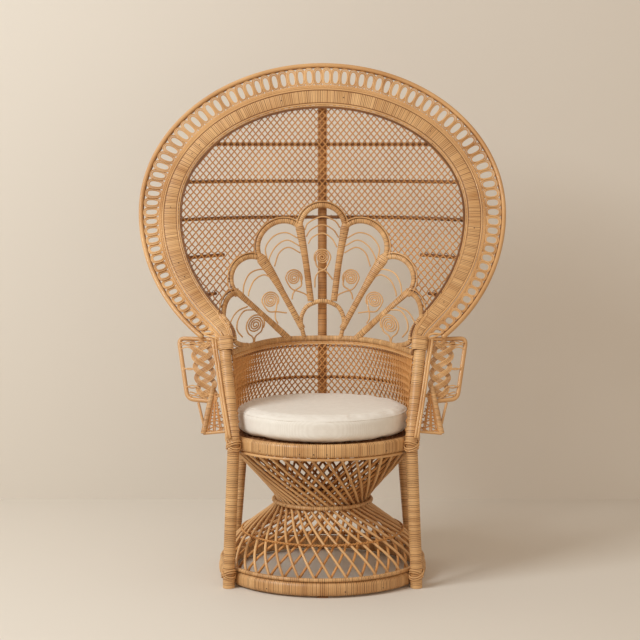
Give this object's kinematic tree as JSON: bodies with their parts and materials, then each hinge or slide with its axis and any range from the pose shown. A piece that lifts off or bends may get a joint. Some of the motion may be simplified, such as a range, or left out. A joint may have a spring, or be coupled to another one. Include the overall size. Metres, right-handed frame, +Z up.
{
  "type": "peacock chair",
  "caption": "Woven high-back armchair with an oval fan back, a barrel seat with a round cushion and an hourglass base",
  "frame": {"origin": "middle of the overall box in plan, on the floor", "axes": "+Z up, the chair faces -Y, +X to the viewer's right"},
  "size_m": [1.1044, 0.7006, 1.5025],
  "materials": {
    "cane": "satin varnished rattan",
    "cane_dark": "darker rattan, matte",
    "linen": "plain woven linen, matte"
  },
  "bodies": {
    "chair": {"base_band": "cane", "outer_cage": "cane", "inner_cage": "cane", "tie_hoop": "cane", "waist_ring": "cane", "seat_band": "cane", "hoop_band": "cane", "rim_pole": "cane", "lace_border": "cane", "fan_lattice": "cane", "hub_arch": "cane", "scallop_middle": "cane", "coil_middle": "cane", "barrel_top_rail": "cane", "barrel_lattice": "cane", "front_post_left": "cane", "post_piping_left": "cane", "seat_binding_left": "cane", "ankle_binding_left": "cane", "rear_leg_left": "cane", "wing_frame_left": "cane", "wing_weave_left": "cane", "rib_1_left": "cane", "rib_2_left": "cane", "rib_3_left": "cane", "scallop_1_left": "cane", "scallop_2_left": "cane", "scallop_3_left": "cane", "coil_1_left": "cane", "coil_2_left": "cane", "coil_3_left": "cane", "front_post_right": "cane", "post_piping_right": "cane", "seat_binding_right": "cane", "ankle_binding_right": "cane", "rear_leg_right": "cane", "wing_frame_right": "cane", "wing_weave_right": "cane", "rib_1_right": "cane", "rib_2_right": "cane", "rib_3_right": "cane", "scallop_1_right": "cane", "scallop_2_right": "cane", "scallop_3_right": "cane", "coil_1_right": "cane", "coil_2_right": "cane", "coil_3_right": "cane", "front_glide": "cane_dark", "rear_glide": "cane_dark", "seat_deck": "cane_dark", "spine_pole": "cane_dark", "barrel_mid_rail": "cane_dark", "back_rail_1": "cane_dark", "back_rail_2": "cane_dark", "back_rail_3": "cane_dark", "back_rail_4_left": "cane_dark", "back_rail_4_right": "cane_dark", "back_rail_5_left": "cane_dark", "back_rail_5_right": "cane_dark"},
    "cushion": {"cushion": "linen"}
  },
  "joints": [
    {"name": "cushion_lift", "type": "slide", "parent": "chair", "child": "cushion", "axis": [0, 0, 1], "range_m": [0, 0.03]}
  ]
}
